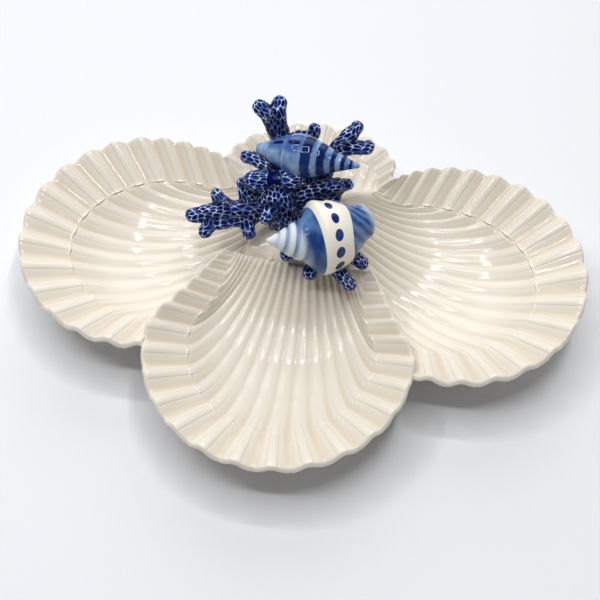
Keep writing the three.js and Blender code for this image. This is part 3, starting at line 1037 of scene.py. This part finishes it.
# %% Coral glaze
def coral_glaze():
    """Pale lines on the cell walls, blue beside them and a navy pit in the middle of each cell.

    The lines come and go with a cloud, and where coils meet the blue is darker: partly run together there,
    partly painted shade.
    """
    material, shader = new_glaze("coral_glaze")
    wall = attribute(shader, "wall")
    pit = 1 - attribute(shader, "seed").step(0.45, 1.05)
    cloud = noise(shader, 220.0)
    joint_pool_and_shade = attribute(shader, "joint_pool_and_shade")
    body = attribute(shader, "tone").blend(rgb(2, 16, 74), rgb(18, 52, 130))
    body = (pit * 0.9).blend(body, rgb(0, 4, 46))
    # painted shade, partly pooled blue, where coils meet; it also dims the halo and the pale lines
    body = (joint_pool_and_shade * 0.7).blend(body, rgb(0, 4, 36))
    halo = (1 - wall.step(0.1, 0.6)) * (1 - joint_pool_and_shade) * 0.45
    body = halo.blend(body, rgb(44, 88, 172))
    line = 1 - wall.step(0.02, 0.16)
    broken = (cloud.step(0.36, 0.6) * 0.85 + 0.15) * (1 - joint_pool_and_shade * 0.7)
    colour = (line * broken).blend(body, rgb(222, 234, 252))
    finish_glaze(shader, colour, 0.07, 0.15)
    return material


CORAL = coral_glaze()
for coil in COILS:
    add_piece(coil, coil_mesh(coil), CORAL)

# %% [markdown]
# ## Sea shells
# Two modelled shells sit in the coral: a slim spindle and a broad whelk. A screw modifier could wind a whorl,
# but the outline of each shell is what shows. So a shell is a tube round a bent axis, its radius follows a
# profile, and grooves wind round it. The share along the axis and the turn stay on the points for the paint.

# %% Shell shapes
SPINDLE_LINE = [[-33.6, 14.9, 36.6], [-1, 9, 40], [31.6, 3.1, 43.4]]
SPINDLE_RADII = [2.6, 6.5, 10.5, 13.2, 13, 10.5, 7, 3.8, 1]
SPINDLE_CLOSING = 0.01
SPINDLE_SEAMS = np.array([0.0, 0.06, 0.3, 0.46, 0.597, 0.718, 0.81, 0.888, 0.95, 1.0])
SPINDLE_SWELL = 0.045
WHELK_LINE = [[-18.5, -47.5, 25.6], [11.4, -36.9, 20], [41.3, -14.6, 16.9]]
WHELK_RADII = [1, 5.6, 10.6, 13.9, 22.6, 22.2, 20.2, 15.4, 11.8, 10.6]
WHELK_CLOSING = 0.08
WHELK_WHORLS = 14
WHELK_GROOVE = 0.15
SHELL_ROWS = 260
SHELL_AROUND = 300


def shell_mesh(name, course, radii, closing, relief, extra):
    """Rows of rings along a bent axis, with a radius from a profile and a relief for each ring and turn.

    Over the last share of the axis the end closes as a quarter of an ellipse.
    """
    line = even_line(course, SHELL_ROWS)[0]
    along, side, up = frames_along(line, np.array([0.0, 0.0, 1.0]))
    profile = smooth_values(radii, SHELL_ROWS)
    share = np.linspace(0, 1, SHELL_ROWS)[:, None]
    turn = even_turns(SHELL_AROUND)
    near_end = np.clip((share - 1) / closing + 1, 0, 0.995)
    radius = profile * np.sqrt(1 - near_end ** 2) * (1 + relief(share, turn))
    spoke = side[:, None] * np.cos(turn)[:, None] + up[:, None] * np.sin(turn)[:, None]
    points = line[:, None] + spoke * radius[:, :, None] + [0, 0, MOUND_TOP]
    flat = np.ones((SHELL_ROWS, SHELL_AROUND))
    attributes = {"share": share * flat, "cosine": np.cos(turn) * flat, "sine": np.sin(turn) * flat}
    for key, values in extra.items():
        attributes[key] = values(share, turn) * flat
    return tube_mesh(name, points, attributes)


def whelk_whorl(share, turn):
    """One in the seam between two whorls, zero on their round backs. Whorls are closest near the apex."""
    winding = WHELK_WHORLS * share * (1 - 0.35 * share) - turn / (2 * pi)
    return 0.5 + 0.5 * np.cos(2 * pi * winding)


def whelk_relief(share, turn):
    """Seams wind round the spire and fade out on the body."""
    fade = ease(0.0, 0.1, share) * (1 - ease(0.26, 0.36, share))
    return -WHELK_GROOVE * whelk_whorl(share, turn) ** 5 * fade


def spindle_relief(share, turn):
    """Each whorl swells between two seams."""
    part = np.interp(share, SPINDLE_SEAMS, np.arange(len(SPINDLE_SEAMS))) % 1
    return SPINDLE_SWELL * (np.sin(pi * part) ** 0.6 - 1) * ease(0.02, 0.06, share) * np.ones_like(turn)


WHELK_LENGTH = even_line(WHELK_LINE, 2)[1]
print("whelk", round(WHELK_LENGTH, 1), "mm long")

# %% [markdown]
# ## The spindle's paint
# The spindle has a pale blue wash with two dashes on its crown, and dark bands with ragged brush edges that
# close up towards the apex. A ramp of colours along the axis could make plain bands, but soft steps let noise
# push their edges about, so each band is a step up and a step down.

# %% Spindle glaze
SPINDLE_BANDS = [(0.476, 0.57), (0.622, 0.692), (0.742, 0.787), (0.832, 0.87), (0.907, 0.935)]
SPINDLE_DASHES = [(0.18, 0.28), (0.335, 0.445)]
PALE_SEAMS = [(0.296, 0.304), (0.056, 0.064)]


def any_of(value, ranges, soft):
    """One inside any of these ranges, with soft edges."""
    return sum(value.between(low, high, soft) for low, high in ranges)


def spindle_glaze():
    """Pale blue with dashes at the blunt end, then dark bands that close up towards the apex."""
    material, shader = new_glaze("spindle_glaze")
    share = attribute(shader, "share")
    wash = noise(shader, 70.0)
    cloud = noise(shader, 190.0)
    pale = (wash * 0.6 + cloud * 0.4).step(0.36, 0.64).blend(rgb(62, 98, 156), rgb(142, 170, 204))
    dark = wash.step(0.3, 0.8).blend(rgb(4, 16, 66), rgb(24, 54, 118))
    colour = (any_of(share, PALE_SEAMS, 0.004) * 0.7).blend(pale, rgb(196, 212, 234))
    crown = attribute(shader, "sine").step(0.72, 0.95) * share.between(0.13, 0.47, 0.02)
    colour = (crown * 0.8).blend(colour, rgb(46, 80, 146))
    dash = any_of(share, SPINDLE_DASHES, 0.012) * attribute(shader, "cosine").between(-0.04, 0.2, 0.03)
    colour = dash.blend(colour, rgb(8, 18, 64))
    ragged = share + (cloud - 0.5) * 0.025
    colour = any_of(ragged, SPINDLE_BANDS, 0.009).blend(colour, dark)
    finish_glaze(shader, colour, 0.05, 0.25)
    return material


spindle = shell_mesh("spindle", SPINDLE_LINE, SPINDLE_RADII, SPINDLE_CLOSING, spindle_relief, {})
add_piece("spindle_shell", spindle, spindle_glaze())

# %% [markdown]
# ## The whelk's paint
# Thinned blue is brushed on the pale spire and darkens to the shoulder. A cream band with dots runs round the
# widest part, and streaks run out over the mouth. The dots could be discs of their own, but the real ones lie
# under the glaze, so they are drawn from the share and the turn. The band isn't square to the axis, so its
# edges lean.

# %% Whelk glaze
DOTS = 13
DOT_PHASE = 0.694
DOT_CENTRE = 0.528
DOT_HALF_LENGTH = 2.7
DOT_HALF_WIDTH = 3.7
BAND_RADIUS = 22.0
BAND_START = 0.42
BAND_END = 0.655
BAND_EDGE = 0.003


def towards(sine, cosine, degrees):
    """The cosine of the way round from this turn."""
    return sine * sin(radians(degrees)) + cosine * cos(radians(degrees))


def whelk_dots(shader, share, turn, lift):
    """One inside a row of ellipses round the band, zero outside them."""
    beside = shader.math("FRACT", turn * DOTS + DOT_PHASE) - 0.5
    across = (beside * (2 * pi * BAND_RADIUS / DOTS / DOT_HALF_WIDTH)) ** 2
    lengthways = ((share - lift * 0.045 - DOT_CENTRE) * (WHELK_LENGTH / DOT_HALF_LENGTH)) ** 2
    return 1 - (across + lengthways).step(0.8, 1.1)


def whelk_glaze():
    """A pale spire, a blue shoulder, a cream band with dots and a blue mouth with streaks."""
    material, shader = new_glaze("whelk_glaze")
    share = attribute(shader, "share")
    sine = attribute(shader, "sine")
    cosine = attribute(shader, "cosine")
    turn = shader.math("ARCTAN2", sine, cosine) * (0.5 / pi)
    behind = towards(sine, cosine, 135)
    lift = shader.math("MAXIMUM", towards(sine, cosine, 115), 0.0) ** 1.5
    cloud = noise(shader, 130.0)
    wash = noise(shader, 60.0)
    washed = share + (wash - 0.5) * 0.06
    seam = attribute(shader, "whorl") ** 1.6
    pale = (seam * 0.75 * share.step(0.05, 0.14) + cloud * 0.1).blend(rgb(222, 228, 234), rgb(98, 136, 184))
    shoulder = wash.step(0.35, 0.68).blend(rgb(30, 62, 124), rgb(92, 134, 184))
    streak = shader.math("SINE", turn * 55 + wash * 9 + share * 60) * 0.5 + 0.5
    mouth = (streak * 0.8).blend(rgb(88, 126, 176), rgb(12, 38, 98))
    mouth = washed.step(0.88, 0.99).blend(mouth, rgb(202, 216, 236))
    colour = (washed + behind * 0.05).step(0.25, 0.34).blend(pale, shoulder)
    start = (share + behind * 0.02).step(BAND_START - BAND_EDGE, BAND_START + BAND_EDGE)
    colour = start.blend(colour, rgb(238, 233, 221))
    end = (share - lift * 0.1).step(BAND_END - BAND_EDGE, BAND_END + BAND_EDGE)
    colour = end.blend(colour, mouth)
    dot_colour = cloud.step(0.3, 0.75).blend(rgb(24, 38, 100), rgb(48, 72, 140))
    colour = whelk_dots(shader, share, turn, lift).blend(colour, dot_colour)
    finish_glaze(shader, colour, 0.05, 0.25)
    return material


whelk = shell_mesh("whelk", WHELK_LINE, WHELK_RADII, WHELK_CLOSING, whelk_relief, {"whorl": whelk_whorl})
add_piece("whelk_shell", whelk, whelk_glaze())

# %% [markdown]
# ## Floor and light
# The dish stands on a plain white table. Its glints are thin outlines, as from a frame of tubes overhead, so
# four narrow lights form that frame. One large panel would be simpler, but it would lie on the dark blue as a
# grey veil. A soft light behind brightens the far table, and a dim even sky fills the shadows.

# %% Floor
TABLE_HALF = 4.0


def add_floor():
    """A wide white table top."""
    mesh = bpy.data.meshes.new("floor")
    corners = [(x * TABLE_HALF, y * TABLE_HALF, 0) for x, y in ((-1, -1), (1, -1), (1, 1), (-1, 1))]
    mesh.from_pydata(corners, [], [(0, 1, 2, 3)])
    material, shader = new_glaze("white_table")
    finish_glaze(shader, rgb(229, 231, 235), 0.9, 0.0)
    mesh.materials.append(material)
    floor = add_object("floor", mesh)


add_floor()
print("table", 2 * TABLE_HALF, "m wide")

# %% Light
SKY_STRENGTH = 0.17
FRAME_OFFSET = Vector((-0.25, 0.0, 1.5))
FRAME_WIDTH = 1.1
FRAME_DEPTH = 0.8
FRAME_TUBE = 0.05
FRAME_POWER = 23.0
BACKDROP_OFFSET = Vector((-0.2, 1.8, 1.3))
BACKDROP_SIZE = (2.4, 1.6)
BACKDROP_POWER = 22.0


def add_sky():
    """A dim, even white sky."""
    world = bpy.data.worlds.new("sky")
    world.use_nodes = True
    background = world.node_tree.nodes["Background"]
    background.inputs["Color"].default_value = (1, 1, 1, 1)
    background.inputs["Strength"].default_value = SKY_STRENGTH
    bpy.context.scene.world = world


def add_light(name, place, aim, width, height, power):
    """A soft oblong light that faces a point."""
    lamp = bpy.data.lights.new(name, "AREA")
    lamp.shape = "RECTANGLE"
    lamp.size = width
    lamp.size_y = height
    lamp.energy = power
    holder = add_object(name, lamp)
    holder.location = place
    holder.rotation_euler = (aim - holder.location).to_track_quat("-Z", "Y").to_euler()


def add_frame_light(middle):
    """Four tubes in an oblong frame overhead, which glossy shells mirror as a thin outline."""
    below = Vector((0, 0, -middle.z))
    for side in (-0.5, 0.5):
        long_tube = middle + Vector((0, side * FRAME_DEPTH, 0))
        short_tube = middle + Vector((side * FRAME_WIDTH, 0, 0))
        add_light("long_tube", long_tube, long_tube + below, FRAME_WIDTH, FRAME_TUBE, FRAME_POWER / 4)
        add_light("short_tube", short_tube, short_tube + below, FRAME_TUBE, FRAME_DEPTH, FRAME_POWER / 4)


hub = Vector((HUB * MM).tolist())
add_sky()
add_frame_light(hub + FRAME_OFFSET)
add_light("backdrop", hub + BACKDROP_OFFSET, hub, *BACKDROP_SIZE, BACKDROP_POWER)
print(len(bpy.data.lights), "lights")

# %% [markdown]
# ## Camera
# The photograph looks down on the dish from the front, a little from the right. The camera could be placed by
# eye, but its direction, distance and lens were fitted to the bowls' rims, so they are given as numbers.

# %% Camera
AZIMUTH = radians(7.98)
ELEVATION = radians(55.71)
DISTANCE = 0.8448
LENS = 82.86
AIM = Vector(((HUB + [4.5, -66.0, RIM_HEIGHT]) * MM).tolist())


def add_camera():
    """A camera at a distance from the point that it looks at."""
    camera = bpy.data.cameras.new("camera")
    camera.lens = LENS
    camera.sensor_width = 36
    holder = add_object("camera", camera)
    level = cos(ELEVATION)
    back = Vector((sin(AZIMUTH) * level, -cos(AZIMUTH) * level, sin(ELEVATION)))
    holder.location = AIM + back * DISTANCE
    holder.rotation_euler = (-back).to_track_quat("-Z", "Y").to_euler()
    bpy.context.scene.camera = holder


add_camera()
bpy.context.scene.view_settings.view_transform = "Standard"
print("camera at", [round(value, 3) for value in bpy.context.scene.camera.location])
